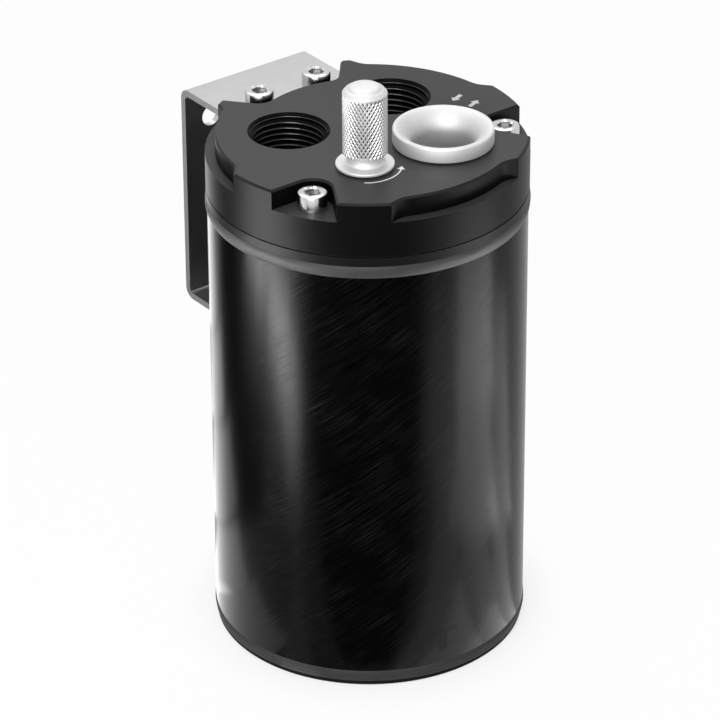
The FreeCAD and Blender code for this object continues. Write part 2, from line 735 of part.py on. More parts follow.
def make_baffle():
    body = new_body("baffle_plate")
    plate_radius = bore_radius - given["baffle_edge_gap"]
    outer_row = plate_radius - given["baffle_hole_inset"]
    middle_row = outer_row - given["baffle_row_step"]
    disc = sketch_on(body, "baffle_disc", "XY_Plane")
    circle(disc, 0, 0, plate_radius * 2)
    for x, y in post_places.values():
        circle(disc, x, y, stud_hole + given["screw_hole_gap"])
    circle(disc, *dipstick_place, rod_hole)
    pad(body, "baffle_blank", disc, given["baffle_sheet"])
    centre = sketch_on(body, "centre_hole_place", "XY_Plane", given["baffle_sheet"])
    circle(centre, 0, 0, given["baffle_hole_diameter"])
    for radius, turns in ((middle_row / 2, range(0, whole_turn, 60)),
                          (middle_row, (5, 35, 65, 115, 145, 175, 270, 300, 330)),
                          (outer_row, (15, 45, 75, 105, 135, 165, 260, 285, 310))):
        for turn in turns:
            circle(centre, *on_circle(radius, turn), given["baffle_hole_diameter"])
    pocket(body, "baffle_holes", centre, given["baffle_sheet"])
    place(body, height=baffle_top - given["baffle_sheet"])


def make_pad():
    body = new_body("filter_pad")
    disc = sketch_on(body, "pad_disc", "XY_Plane")
    circle(disc, 0, 0, (bore_radius - given["pad_edge_gap"]) * 2)
    for x, y in post_places.values():
        circle(disc, x, y, given["post_diameter"] + given["pad_room"] * 2)
    circle(disc, *dipstick_place, rod_hole)
    pad(body, "pad_block", disc, given["pad_thickness"])
    place(body, height=baffle_top)


# Drain plug in the base, sunk so that the can stands flat

def make_drain():
    head, thread = given["drain_head_diameter"] / 2, given["drain_thread_diameter"] / 2
    height, edge = given["drain_head_height"], given["edge_chamfer"]
    seat = given["drain_pocket_depth"] - given["drain_seal_thickness"]
    tip = given["drain_seal_thickness"] + given["drain_thread_length"]
    body = turned("drain_plug", [(0, -height), (head - edge, -height), (head, edge - height), (head, 0),
                                 (thread, 0), (thread, tip - edge), (thread - edge, tip), (0, tip)])
    socket = sketch_on(body, "drain_socket_hexagon", "XY_Plane", -height)
    hexagon(socket, 0, 0, given["drain_socket_width"])
    pocket(body, "drain_socket", socket, given["drain_socket_depth"], upwards=True)
    place(body, *drain_place, seat)
    inner = thread + given["thread_gap"]
    ring = turned("drain_seal", [(inner, 0), (head, 0), (head, given["drain_seal_thickness"]),
                                 (inner, given["drain_seal_thickness"])])
    place(ring, *drain_place, seat)


def build():
    make_tube()
    make_base()
    make_flange()
    make_weld("bottom_weld_bead", base_seam, base_radius, tube_radius)
    make_weld("top_weld_bead", flange_seam, tube_radius, lid_radius)
    make_lid()
    make_seal("lid_o_ring", seal_radius, given["lid_seal_cord"], height=given["can_height"])
    for label, spot in zip(("lid_screw_right", "lid_screw_left"), lid_screw_places):
        make_cap_screw(label, spot, relief_floor)
    make_bracket()
    for label, spot in zip(("bracket_screw_right", "bracket_screw_left"), bracket_screw_places):
        make_cap_screw(label, spot, relief_floor + given["bracket_sheet"])
    make_outlet()
    outlet_floor = lid_top + given["outlet_gap"] - given["outlet_seal_cord"] + given["seal_squeeze"]
    make_seal("outlet_o_ring", (given["port_diameter"] + given["outlet_seal_cord"] + given["seal_room"]) / 2,
              given["outlet_seal_cord"], *outlet_place, outlet_floor)
    make_knob()
    make_rod()
    knob_floor = lid_top + given["knob_lift"] - given["dipstick_seal_cord"] + given["seal_squeeze"]
    make_seal("dipstick_o_ring", (dipstick_hole + given["dipstick_seal_cord"] + given["seal_room"]) / 2,
              given["dipstick_seal_cord"], *dipstick_place, knob_floor)
    for side, spot in post_places.items():
        make_post(side, spot)
        make_baffle_screw(side, spot)
    make_baffle()
    make_pad()
    make_drain()
    doc.recompute()


def check_model():
    for item in doc.Objects:
        if "Invalid" in item.State or "Error" in item.State:
            raise RuntimeError("%s failed: %s" % (item.Label, item.State))
        if item.TypeId in ("PartDesign::Pocket", "PartDesign::Groove"):
            if item.Shape.Volume > item.BaseFeature.Shape.Volume - near:
                raise RuntimeError(item.Label + " cuts nothing")


def export_pieces():
    pieces = [item for item in doc.Objects if item.TypeId == "PartDesign::Body"]
    for piece in pieces:
        if piece.Shape.isNull() or not piece.Shape.isValid() or len(piece.Shape.Solids) != 1:
            raise RuntimeError(piece.Label + " is not one valid solid")
    os.makedirs("parts", exist_ok=True)
    for piece in pieces:
        piece.Shape.exportStep("parts/%s.step" % piece.Label)
        print(piece.Label, round(piece.Shape.Volume, 1))


build()
check_model()
export_pieces()
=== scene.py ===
import math
import bmesh
import bpy
from mathutils import Matrix, Vector, noise


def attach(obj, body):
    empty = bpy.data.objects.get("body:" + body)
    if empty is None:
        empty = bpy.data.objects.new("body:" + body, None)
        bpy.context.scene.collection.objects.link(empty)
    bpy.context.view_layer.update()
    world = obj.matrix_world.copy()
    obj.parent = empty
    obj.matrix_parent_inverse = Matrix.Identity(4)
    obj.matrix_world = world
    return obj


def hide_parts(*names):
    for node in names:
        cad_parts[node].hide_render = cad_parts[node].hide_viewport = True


# Oil catch can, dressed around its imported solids. Lengths in the dictionaries are
# millimetres, angles are degrees, and +Z is up with the bracket towards +Y.
mm = 0.001

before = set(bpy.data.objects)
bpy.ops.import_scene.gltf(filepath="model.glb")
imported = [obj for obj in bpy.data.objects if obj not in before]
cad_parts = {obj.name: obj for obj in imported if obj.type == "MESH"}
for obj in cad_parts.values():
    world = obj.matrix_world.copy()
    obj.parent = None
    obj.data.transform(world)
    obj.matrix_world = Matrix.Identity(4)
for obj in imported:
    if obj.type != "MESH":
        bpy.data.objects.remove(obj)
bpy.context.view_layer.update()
print("frame loaded:", len(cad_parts), "nodes")


# Small helpers for nodes

def newMaterial(name, **sockets):
    material = bpy.data.materials.new(name)
    material.use_nodes = True
    shader = material.node_tree.nodes["Principled BSDF"]
    for socket, value in sockets.items():
        shader.inputs[socket.replace("_", " ")].default_value = value
    return material


def addNode(tree, kind, **settings):
    node = tree.nodes.new("ShaderNode" + kind)
    for name, value in settings.items():
        setattr(node, name, value)
    return node


def feed(tree, source, target):
    tree.links.new(source, target)


def setInputs(node, **values):
    for name, value in values.items():
        node.inputs[name.replace("_", " ")].default_value = value
    return node


def calc(tree, operation, first, second):
    node = addNode(tree, "Math", operation=operation)
    for socket, value in zip(node.inputs, (first, second)):
        if isinstance(value, (int, float)):
            socket.default_value = value
        else:
            feed(tree, value, socket)
    return node.outputs[0]


def clamped(tree, value):
    return calc(tree, "MINIMUM", calc(tree, "MAXIMUM", value, 0.0), 1.0)


def newGroup(name, inputs, outputs):
    group = bpy.data.node_groups.new(name, "ShaderNodeTree")
    for label, kind, value in inputs:
        socket = group.interface.new_socket(label, in_out="INPUT", socket_type="NodeSocket" + kind)
        if value is not None:
            socket.default_value = value
    for label, kind in outputs:
        group.interface.new_socket(label, in_out="OUTPUT", socket_type="NodeSocket" + kind)
    return group, group.nodes.new("NodeGroupInput"), group.nodes.new("NodeGroupOutput")


def useGroup(tree, group, **values):
    node = tree.nodes.new("ShaderNodeGroup")
    node.node_tree = group
    setInputs(node, **values)
    return node


# Unrolls the wall of a turned piece: X runs round it, Y runs up it, both in mm
def unrollGroup():
    group, given, result = newGroup(
        "unrolledWall", [("Vector", "Vector", None), ("Radius", "Float", 46.7)], [("Vector", "Vector")])
    parts = addNode(group, "SeparateXYZ")
    feed(group, given.outputs["Vector"], parts.inputs[0])
    turn = calc(group, "ARCTAN2", parts.outputs[0], calc(group, "MULTIPLY", parts.outputs[1], -1.0))
    joined = addNode(group, "CombineXYZ")
    feed(group, calc(group, "MULTIPLY", turn, given.outputs["Radius"]), joined.inputs[0])
    feed(group, calc(group, "MULTIPLY", parts.outputs[2], 1.0 / mm), joined.inputs[1])
    feed(group, joined.outputs[0], result.inputs["Vector"])
    return group


streak = {"cut": 0.8, "amountShare": 0.3, "contrast": 9.0, "detail": 1.0, "roughness": 0.6}


# Fine scratches along one direction: a mask of thin streaks, more of them with a higher amount
def scratchGroup():
    group, given, result = newGroup(
        "fineScratches",
        [("Vector", "Vector", None), ("Angle", "Float", 0.6), ("Length", "Float", 9.0),
         ("Width", "Float", 0.2), ("Amount", "Float", 0.5)],
        [("Mask", "Float")])
    turn = addNode(group, "VectorRotate", rotation_type="Z_AXIS")
    feed(group, given.outputs["Vector"], turn.inputs["Vector"])
    feed(group, given.outputs["Angle"], turn.inputs["Angle"])
    parts = addNode(group, "SeparateXYZ")
    feed(group, turn.outputs[0], parts.inputs[0])
    joined = addNode(group, "CombineXYZ")
    feed(group, calc(group, "DIVIDE", parts.outputs[0], given.outputs["Length"]), joined.inputs[0])
    feed(group, calc(group, "DIVIDE", parts.outputs[1], given.outputs["Width"]), joined.inputs[1])
    streaks = setInputs(addNode(group, "TexNoise"), Scale=1.0, Detail=streak["detail"],
                        Roughness=streak["roughness"])
    feed(group, joined.outputs[0], streaks.inputs["Vector"])
    lowered = calc(group, "MULTIPLY", given.outputs["Amount"], streak["amountShare"])
    raised = calc(group, "SUBTRACT", streaks.outputs[0], calc(group, "SUBTRACT", streak["cut"], lowered))
    feed(group, clamped(group, calc(group, "MULTIPLY", raised, streak["contrast"])), result.inputs["Mask"])
    return group


grainNoise = {"detail": 2.0, "roughness": 0.6, "cloudDetail": 3.0, "cloudRoughness": 0.55}


# Fine grain of a blasted, rubber or anodised surface, and a slow cloud over it: sizes in mm
def grainGroup():
    group, given, result = newGroup(
        "fineGrain", [("Vector", "Vector", None), ("Size", "Float", 0.2), ("Cloud", "Float", 12.0)],
        [("Height", "Float"), ("Cloud", "Float")])
    scaled = addNode(group, "VectorMath", operation="SCALE")
    feed(group, given.outputs["Vector"], scaled.inputs[0])
    scaled.inputs["Scale"].default_value = 1.0 / mm
    grain = setInputs(addNode(group, "TexNoise"), Detail=grainNoise["detail"],
                      Roughness=grainNoise["roughness"])
    feed(group, scaled.outputs[0], grain.inputs["Vector"])
    feed(group, calc(group, "DIVIDE", 1.0, given.outputs["Size"]), grain.inputs["Scale"])
    cloud = setInputs(addNode(group, "TexNoise"), Detail=grainNoise["cloudDetail"],
                      Roughness=grainNoise["cloudRoughness"])
    feed(group, scaled.outputs[0], cloud.inputs["Vector"])
    feed(group, calc(group, "DIVIDE", 1.0, given.outputs["Cloud"]), cloud.inputs["Scale"])
    feed(group, grain.outputs[0], result.inputs["Height"])
    feed(group, cloud.outputs[0], result.inputs["Cloud"])
    return group


unrolledWall = unrollGroup()
fineScratches = scratchGroup()
fineGrain = grainGroup()


def objectPlace(tree):
    return addNode(tree, "TexCoord").outputs["Object"]


def between(tree, factor, low, high):
    node = addNode(tree, "MapRange")
    feed(tree, factor, node.inputs["Value"])
    node.inputs["To Min"].default_value = low
    node.inputs["To Max"].default_value = high
    return node.outputs[0]


def shades(tree, factor, dark, light):
    ramp = addNode(tree, "ValToRGB")
    ramp.color_ramp.elements[0].color = (*dark, 1)
    ramp.color_ramp.elements[1].color = (*light, 1)
    feed(tree, factor, ramp.inputs[0])
    return ramp.outputs[0]


def bumpFrom(tree, shader, height, distance):
    bump = setInputs(addNode(tree, "Bump"), Strength=1.0, Distance=distance * mm)
    feed(tree, height, bump.inputs["Height"])
    feed(tree, bump.outputs[0], shader.inputs["Normal"])


# Materials

# Each row of streaks gives their angle, length, width, amount and share in the mask. They
# fade out in patches, and towards a side, a direction that counts one at the wall: that side is
# smooth, and leaving the streaks out there is also a painted shade that keeps the flank dark.
lookTube = {"shade": (0.0006, 0.0006, 0.0007), "scratchShade": (0.016, 0.016, 0.0163),
            "roughness": (0.21, 0.54), "bump": 0.008,
            "streaks": ((-38, 16, 0.14, 0.85, 0.36), (-35, 34, 0.22, 0.4, 0.9), (-41, 24, 0.34, 0.6, 0.2)),
            "patch": 17.0, "patchFrom": 0.4, "patchRise": 5.0, "patchShare": 0.65,
            "shadedCleanSide": (-17.1, 12.89, 0.0), "shadedCleanFrom": 0.8, "shadedCleanRise": 5.0}


def makeTubeMaterial():
    material = newMaterial("satinBlackTube", Specular_IOR_Level=0.05)
    tree, shader = material.node_tree, material.node_tree.nodes["Principled BSDF"]
    wall = useGroup(tree, unrolledWall)
    feed(tree, objectPlace(tree), wall.inputs["Vector"])
    masks = []
    for angle, length, width, amount, share in lookTube["streaks"]:
        streaks = useGroup(tree, fineScratches, Angle=math.radians(angle), Length=length, Width=width,
                           Amount=amount)
        feed(tree, wall.outputs[0], streaks.inputs["Vector"])
        masks.append(calc(tree, "MULTIPLY", streaks.outputs[0], share))
    scratches = masks[0]
    for mask in masks[1:]:
        scratches = calc(tree, "MAXIMUM", scratches, mask)
    area = useGroup(tree, fineGrain, Cloud=lookTube["patch"])
    feed(tree, objectPlace(tree), area.inputs["Vector"])
    raised = calc(tree, "SUBTRACT", area.outputs["Cloud"], lookTube["patchFrom"])
    patches = clamped(tree, calc(tree, "MULTIPLY", raised, lookTube["patchRise"]))
    worn = between(tree, patches, 1.0 - lookTube["patchShare"], 1.0)
    # Painted shade in part: towards one side the lighter streaks are left out, so that flank stays dark
    side = addNode(tree, "VectorMath", operation="DOT_PRODUCT")
    feed(tree, objectPlace(tree), side.inputs[0])
    side.inputs[1].default_value = lookTube["shadedCleanSide"]
    shadedCleanMargin = calc(tree, "SUBTRACT", lookTube["shadedCleanFrom"], side.outputs["Value"])
    outsidePaintedShade = clamped(tree, calc(tree, "MULTIPLY", shadedCleanMargin, lookTube["shadedCleanRise"]))
    scratches = calc(tree, "MULTIPLY", calc(tree, "MULTIPLY", scratches, worn), outsidePaintedShade)
    colour = shades(tree, scratches, lookTube["shade"], lookTube["scratchShade"])
    feed(tree, colour, shader.inputs["Base Color"])
    feed(tree, between(tree, scratches, *lookTube["roughness"]), shader.inputs["Roughness"])
    bumpFrom(tree, shader, scratches, lookTube["bump"])
    return material


# Grain feeds roughness and bump, and the cloud with a share of speckle feeds the colour
def makeGrainMaterial(name, look):
    material = newMaterial(name, **look.get("sockets", {}))
    tree, shader = material.node_tree, material.node_tree.nodes["Principled BSDF"]
    grain = useGroup(tree, fineGrain, Size=look["grain"], Cloud=look["cloud"])
    feed(tree, objectPlace(tree), grain.inputs["Vector"])
    share = look.get("speckle", 0.0)
    shade = calc(tree, "ADD", calc(tree, "MULTIPLY", grain.outputs["Cloud"], 1.0 - share),
                 calc(tree, "MULTIPLY", grain.outputs["Height"], share))
    feed(tree, shades(tree, shade, *look["shades"]), shader.inputs["Base Color"])
    feed(tree, between(tree, grain.outputs["Height"], *look["roughness"]), shader.inputs["Roughness"])
    bumpFrom(tree, shader, grain.outputs["Height"], look["bump"])
    return material


# Painted light: the lid's top takes a lighter copy of its black than its sides and edges, as if lit from
# above
lookLidTopPaintedLight = {"shades": ((0.036, 0.036, 0.0365), (0.05, 0.05, 0.0505)), "roughness": (0.36, 0.48),
           "grain": 0.16, "cloud": 14.0, "bump": 0.012, "speckle": 0.3,
           "sockets": {"Specular_IOR_Level": 0.17}}
# Painted shade: the lid's upright sides take a much darker copy of the same black
lookLidSidePaintedShade = {"shades": ((0.0008, 0.0008, 0.0009), (0.0016, 0.0016, 0.0017)), "roughness": (0.34, 0.44),
            "grain": 0.16, "cloud": 14.0, "bump": 0.008, "sockets": {"Specular_IOR_Level": 0.055}}
# Painted shade: the lid's chamfers take a copy of the black between the top's and the sides'
lookLidEdgePaintedShade = {"shades": ((0.009, 0.009, 0.0092), (0.014, 0.014, 0.0142)), "roughness": (0.34, 0.44),
            "grain": 0.16, "cloud": 14.0, "bump": 0.006, "sockets": {"Specular_IOR_Level": 0.12}}
lookChamfer = {"shades": ((0.006, 0.006, 0.0061), (0.012, 0.012, 0.0122)), "roughness": (0.2, 0.3),
               "grain": 0.16, "cloud": 14.0, "bump": 0.004, "sockets": {"Specular_IOR_Level": 1.0}}
lookWeld = {"shades": ((0.014, 0.014, 0.0142), (0.027, 0.027, 0.0273)), "roughness": (0.48, 0.6),
            "grain": 0.5, "cloud": 5.0, "bump": 0.05, "sockets": {"Specular_IOR_Level": 0.22}}
lookRing = {"shades": ((0.0025, 0.0025, 0.0026), (0.005, 0.005, 0.0052)), "roughness": (0.34, 0.46),
            "grain": 0.2, "cloud": 12.0, "bump": 0.01, "sockets": {"Specular_IOR_Level": 0.07}}
# Painted shade: the ports' bores and their threads are darker than the lid, as shade falls in the holes
lookBorePaintedShade = {"shades": ((0.0005, 0.0005, 0.0005), (0.001, 0.001, 0.001)), "roughness": (0.3, 0.4),
            "grain": 0.2, "cloud": 8.0, "bump": 0.01, "sockets": {"Specular_IOR_Level": 0.05}}
lookRubber = {"shades": ((0.01, 0.01, 0.01), (0.016, 0.016, 0.016)), "roughness": (0.5, 0.7),
              "grain": 0.15, "cloud": 6.0, "bump": 0.01}
lookBlasted = {"shades": ((0.55, 0.55, 0.555), (0.65, 0.65, 0.655)), "roughness": (0.56, 0.7),
               "grain": 0.14, "cloud": 9.0, "bump": 0.012, "sockets": {"Metallic": 1.0}}
# Painted shade: the knurled band takes a darker copy of the blasted aluminium
lookKnurlPaintedShade = {"shades": ((0.42, 0.42, 0.424), (0.52, 0.52, 0.525)), "roughness": (0.46, 0.6),
             "grain": 0.14, "cloud": 9.0, "bump": 0.01, "sockets": {"Metallic": 1.0}}
# Painted shade: the knurl's sunk pit floors are darker, as shade falls in them
lookPitPaintedShade = {"shades": ((0.04, 0.04, 0.041), (0.07, 0.07, 0.0715)), "roughness": (0.5, 0.64),
           "grain": 0.1, "cloud": 3.0, "bump": 0.01, "sockets": {"Metallic": 1.0}}
lookBracket = {"shades": ((0.36, 0.36, 0.364), (0.64, 0.64, 0.645)), "roughness": (0.24, 0.36),
               "grain": 0.26, "cloud": 5.0, "bump": 0.012, "speckle": 0.75, "sockets": {"Metallic": 1.0}}
lookCut = {"shades": ((0.1, 0.1, 0.102), (0.44, 0.44, 0.445)), "roughness": (0.3, 0.5),
           "grain": 0.34, "cloud": 3.0, "bump": 0.02, "speckle": 0.8, "sockets": {"Metallic": 1.0}}
lookSteel = {"shades": ((0.5, 0.5, 0.505), (0.64, 0.64, 0.645)), "roughness": (0.12, 0.24),
             "grain": 0.4, "cloud": 3.0, "bump": 0.008, "sockets": {"Metallic": 1.0}}
lookPlain = {"shades": ((0.66, 0.66, 0.67), (0.76, 0.76, 0.77)), "roughness": (0.3, 0.42),
             "grain": 0.3, "cloud": 6.0, "bump": 0.01, "sockets": {"Metallic": 1.0}}
lookFleece = {"shades": ((0.62, 0.6, 0.56), (0.8, 0.79, 0.76)), "roughness": (0.85, 1.0),
              "grain": 0.6, "cloud": 3.0, "bump": 0.4}
lookPrint = {"shades": ((0.8, 0.8, 0.8), (0.88, 0.88, 0.88)), "roughness": (0.5, 0.62),
             "grain": 0.2, "cloud": 2.0, "bump": 0.004}

satinBlackTube = makeTubeMaterial()
# Painted light and shade: the lid's top, sides and edges are lit and shaded copies of one black
lidTopPaintedLight = makeGrainMaterial("lidTopPaintedLight", lookLidTopPaintedLight)
weldBead = makeGrainMaterial("weldBead", lookWeld)
blackRing = makeGrainMaterial("blackRing", lookRing)
lidSidePaintedShade = makeGrainMaterial("lidSidePaintedShade", lookLidSidePaintedShade)
lidEdgePaintedShade = makeGrainMaterial("lidEdgePaintedShade", lookLidEdgePaintedShade)
chamferBlack = makeGrainMaterial("chamferBlack", lookChamfer)
# Painted shade: a darker black for the ports' bores and threads
borePaintedShade = makeGrainMaterial("borePaintedShade", lookBorePaintedShade)
# Painted shade: a darker copy of the blasted aluminium for the knurled band
knurlAluminiumPaintedShade = makeGrainMaterial("knurlAluminiumPaintedShade", lookKnurlPaintedShade)
# Painted shade: darker aluminium for the knurl's pit floors
pitAluminiumPaintedShade = makeGrainMaterial("pitAluminiumPaintedShade", lookPitPaintedShade)
sealRubber = makeGrainMaterial("sealRubber", lookRubber)
blastedAluminium = makeGrainMaterial("blastedAluminium", lookBlasted)
bracketSteel = makeGrainMaterial("bracketSteel", lookBracket)
cutSteel = makeGrainMaterial("cutSteel", lookCut)
screwSteel = makeGrainMaterial("screwSteel", lookSteel)
plainAluminium = makeGrainMaterial("plainAluminium", lookPlain)
filterFleece = makeGrainMaterial("filterFleece", lookFleece)
whitePrint = makeGrainMaterial("whitePrint", lookPrint)
print("materials made")


# Mesh helpers. Points nearer than joined or fine, in metres, become one, faces that meet at
# less than flat merge, and edges bent by less than soft are shaded smooth.
meshing = {"joined": 1e-6, "fine": 1e-7, "flat": 0.4, "soft": 28.0}


def newObject(name, data):
    item = bpy.data.objects.new(name, data)
    bpy.context.scene.collection.objects.link(item)
    return item


def meshObject(bm, name, *materials):
    mesh = bpy.data.meshes.new(name)
    bm.to_mesh(mesh)
    bm.free()
    for material in materials:
        mesh.materials.append(material)
    return newObject(name, mesh)


def shadeByAngle(bm, degrees):
    for face in bm.faces:
        face.smooth = True
    for edge in bm.edges:
        edge.smooth = len(edge.link_faces) == 2 and edge.calc_face_angle(0.0) < math.radians(degrees)


# The first material is the piece's own, and faces with a higher index take the others
def finishPiece(bm, name, body, materials, replaced=None, soft=meshing["soft"]):
    shadeByAngle(bm, soft)
    piece = meshObject(bm, name, *materials)
    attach(piece, body)
    if replaced:
        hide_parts(replaced)
    return piece


# Closed section (radius, height) turned full circle about an upright axis
def turnSection(section, steps, place=(0, 0, 0)):
    bm = bmesh.new()
    corners = [bm.verts.new((radius * mm, 0, height * mm)) for radius, height in section]
    edges = [bm.edges.new((corner, corners[index - 1])) for index, corner in enumerate(corners)
             if corner.co.x > 0 or corners[index - 1].co.x > 0]
    bmesh.ops.spin(bm, geom=corners + edges, cent=(0, 0, 0), axis=(0, 0, 1), angle=math.tau, steps=steps,
                   use_merge=True)
    bmesh.ops.remove_doubles(bm, verts=bm.verts, dist=meshing["joined"])
    bmesh.ops.recalc_face_normals(bm, faces=bm.faces)
    bmesh.ops.translate(bm, verts=bm.verts, vec=Vector(place) * mm)
    return bm


# Copy of a solid's mesh with the triangles of its flat faces joined
def copySolid(node):
    bm = bmesh.new()
    bm.from_mesh(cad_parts[node].data)
    bmesh.ops.remove_doubles(bm, verts=bm.verts, dist=meshing["joined"])
    bmesh.ops.dissolve_limit(bm, angle_limit=math.radians(meshing["flat"]), verts=bm.verts, edges=bm.edges)
    return bm


def dressNode(node, material):
    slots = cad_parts[node].data.materials
    if len(slots):
        for index in range(len(slots)):
            slots[index] = material
    else:
        slots.append(material)


# Can: wall, base, top ring and weld beads

can = {"radius": 46.7, "inner": 43.7, "low": 3.5, "high": 139.3, "seam": 1.9, "root": 45.1, "steps": 288}


def makeCanWall():
    low, high, seam = can["low"], can["high"], can["seam"]
    section = [(can["inner"], low), (can["root"], low), (can["radius"], low + seam),
               (can["radius"], high - seam), (can["root"], high), (can["inner"], high)]
    bm = turnSection(section, can["steps"])
    finishPiece(bm, "canWall", "can", [satinBlackTube], "can_tube")


# Rows are shares of the way up the bead, close together where its groove runs. The ripple
# goes round with the pitch and lags towards the rims; the waver is slow and uneven.
weld = {"sunk": 0.3, "bulge": 0.42, "grooveAt": 0.42, "grooveWidth": 0.07, "steps": 720, "ripple": 0.012,
        "pitch": 2.1, "lag": 0.35, "waver": 0.09, "waverLength": 7.0, "rise": 0.1, "riseTurn": 1.7,
        "rows": (0.0, 0.08, 0.18, 0.28, 0.36, 0.42, 0.48, 0.56, 0.68, 0.8, 0.9, 1.0), "soft": 60.0}


def makeWeld(name, node, seam, lowRadius, highRadius, groove):
    low, high = Vector((lowRadius, seam - can["seam"])), Vector((highRadius, seam + can["seam"]))
    section = [(can["root"] - weld["sunk"], seam)]
    for share in weld["rows"]:
        point = low.lerp(high, share)
        sunk = groove * math.exp(-((share - weld["grooveAt"]) / weld["grooveWidth"]) ** 2)
        section.append((point.x + weld["bulge"] * (1 - (2 * share - 1) ** 2) - sunk, point.y))
    bm = turnSection(section, weld["steps"])
    for vert in bm.verts:
        height = vert.co.z / mm - seam
        rim = 1 - min(1, abs(height) / can["seam"])
        outward = Vector((vert.co.x, vert.co.y, 0)).normalized()
        along = math.atan2(vert.co.y, vert.co.x) * can["radius"]
        lag = height * height * weld["lag"]
        wave = math.sin((along + lag) * math.tau / weld["pitch"])
        spot = Vector((outward.x, outward.y, seam)) * can["radius"] / weld["waverLength"]
        slow = noise.noise(spot)
        if vert.co.to_2d().length > can["root"] * mm:
            vert.co += outward * (weld["ripple"] * wave * rim + weld["waver"] * slow * rim) * mm
            vert.co.z += weld["rise"] * noise.noise(spot * weld["riseTurn"]) * mm * rim
    finishPiece(bm, name, "can", [weldBead], node, weld["soft"])


# The bead's solid, the height of its seam, its radius at the lower and upper rim, and how
# deep its groove is
beads = {"weldBottom": ("bottom_weld_bead", can["low"], 46.3, 46.7, 0.16),
         "weldTop": ("top_weld_bead", can["high"], 46.7, 47.0, 0.03)}

makeCanWall()
for name, row in beads.items():
    makeWeld(name, *row)
finishPiece(copySolid("base_plate"), "canBase", "can", [blackRing], "base_plate")
finishPiece(copySolid("top_flange"), "topRing", "can", [blackRing], "top_flange")
print("can made")


# Lid with its hose port threads

# A face is level where its normal's upward share is over flat, upright where it is under steep
lid = {"flat": 0.95, "steep": 0.4}
# A crest is worn inside the radius worn, and fade is the part of a turn in which it runs out
thread = {"place": (18.356, 13.287), "wall": 11.16, "crest": 10.15, "foot": 0.84, "tip": 0.2, "round": 0.1,
          "mouth": 12.4, "pitch": 1.814, "low": 145.44, "high": 159.31, "steps": 72, "fade": 0.2,
          "worn": 10.3, "soft": 70.0}


# The ports' walls are a darker bore, a painted shade, and the lid's sides and edges take darker copies of
# its black, a painted shade that leaves the level top lighter as if lit
def makeLid():
    bm = copySolid("lid")
    across, along = thread["place"]
    for face in bm.faces:
        middle = face.calc_center_median() / mm
        reach = min(math.hypot(middle.x - side * across, middle.y - along) for side in (-1, 1))
        # Painted shade: faces in the ports' holes take the darker bore
        if reach < thread["mouth"] and face.normal.z < lid["flat"]:
            face.material_index = 1
        # Painted shade: upright faces take the sides' darker black, slanted ones the edges' black
        elif abs(face.normal.z) < lid["steep"]:
            face.material_index = 2
        elif face.normal.z < lid["flat"]:
            face.material_index = 3
    materials = [lidTopPaintedLight, borePaintedShade, lidSidePaintedShade, lidEdgePaintedShade]
    finishPiece(bm, "lidBlock", "can", materials, "lid")


# The worn tips of a ridge are smoother and catch the light
def markCrests(bm):
    for face in bm.faces:
        if all(vert.co.to_2d().length < thread["worn"] * mm for vert in face.verts):
            face.material_index = 1


# A helical ridge that winds up the port's wall and fades into it at both ends
def makeThread(name, side):
    bm = bmesh.new()
    shoulder, tip = thread["crest"] + thread["round"], thread["tip"]
    section = [(thread["wall"], -thread["foot"]), (shoulder, -tip), (thread["crest"], -tip / 3),
               (thread["crest"], tip / 3), (shoulder, tip), (thread["wall"], thread["foot"])]
    corners = [bm.verts.new((radius * mm, 0, (thread["low"] + height) * mm)) for radius, height in section]
    bm.faces.new(corners)
    turns = (thread["high"] - thread["low"]) / thread["pitch"]
    steps = round(turns * thread["steps"])
    rise = thread["pitch"] * mm / thread["steps"]
    bmesh.ops.spin(bm, geom=bm.faces[:] + bm.edges[:] + bm.verts[:], cent=(0, 0, 0), axis=(0, 0, 1),
                   dvec=(0, 0, rise), angle=math.tau * steps / thread["steps"], steps=steps)
    bmesh.ops.remove_doubles(bm, verts=bm.verts, dist=meshing["fine"])
    for vert in bm.verts:
        turned = math.atan2(vert.co.y, vert.co.x) / math.tau
        climb = round((vert.co.z / mm - thread["low"]) / thread["pitch"] - turned) + turned
        fade = max(0.0, 1 - min(climb, turns - climb) / thread["fade"])
        outward = Vector((vert.co.x, vert.co.y, 0)).normalized()
        vert.co += outward * fade * (thread["wall"] - thread["crest"]) * mm
    bmesh.ops.recalc_face_normals(bm, faces=bm.faces)
    markCrests(bm)
    across, along = thread["place"]
    bmesh.ops.translate(bm, verts=bm.verts, vec=(side * across * mm, along * mm, 0))
    # Painted shade: the ridge takes the bore's darker black
    finishPiece(bm, name, "can", [borePaintedShade, chamferBlack], soft=thread["soft"])


# Section of the lip: how far each corner stands in from the wall, and its height
mouthLip = {"sunk": 0.04, "height": 160.05, "steps": 144,
            "section": ((0, 0.12), (0.16, 0), (0.2, -0.09), (0.16, -0.18), (0, -0.34))}


# The rounded lip where the mouth's cone meets the wall
def makeMouthLip(name, side):
    wall, across, along = thread["wall"] + mouthLip["sunk"], side * thread["place"][0], thread["place"][1]
    section = [(wall - inward, mouthLip["height"] + up) for inward, up in mouthLip["section"]]
    bm = turnSection(section, mouthLip["steps"], (across, along, 0))
    finishPiece(bm, name, "can", [chamferBlack], soft=thread["soft"])


makeLid()
makeThread("portThreadRight", 1)
makeThread("portThreadLeft", -1)
makeMouthLip("portLipRight", 1)
makeMouthLip("portLipLeft", -1)
print("lid made")


# Bracket

bracket = {"side": 0.9}  # a face whose normal points further sideways is a cut edge


def makeBracket():
    bm = copySolid("bracket")
    for face in bm.faces:
        if abs(face.normal.x) > bracket["side"]:
            face.material_index = 1
    finishPiece(bm, "foldedBracket", "can", [bracketSteel, cutSteel], "bracket")


makeBracket()
print("bracket made")


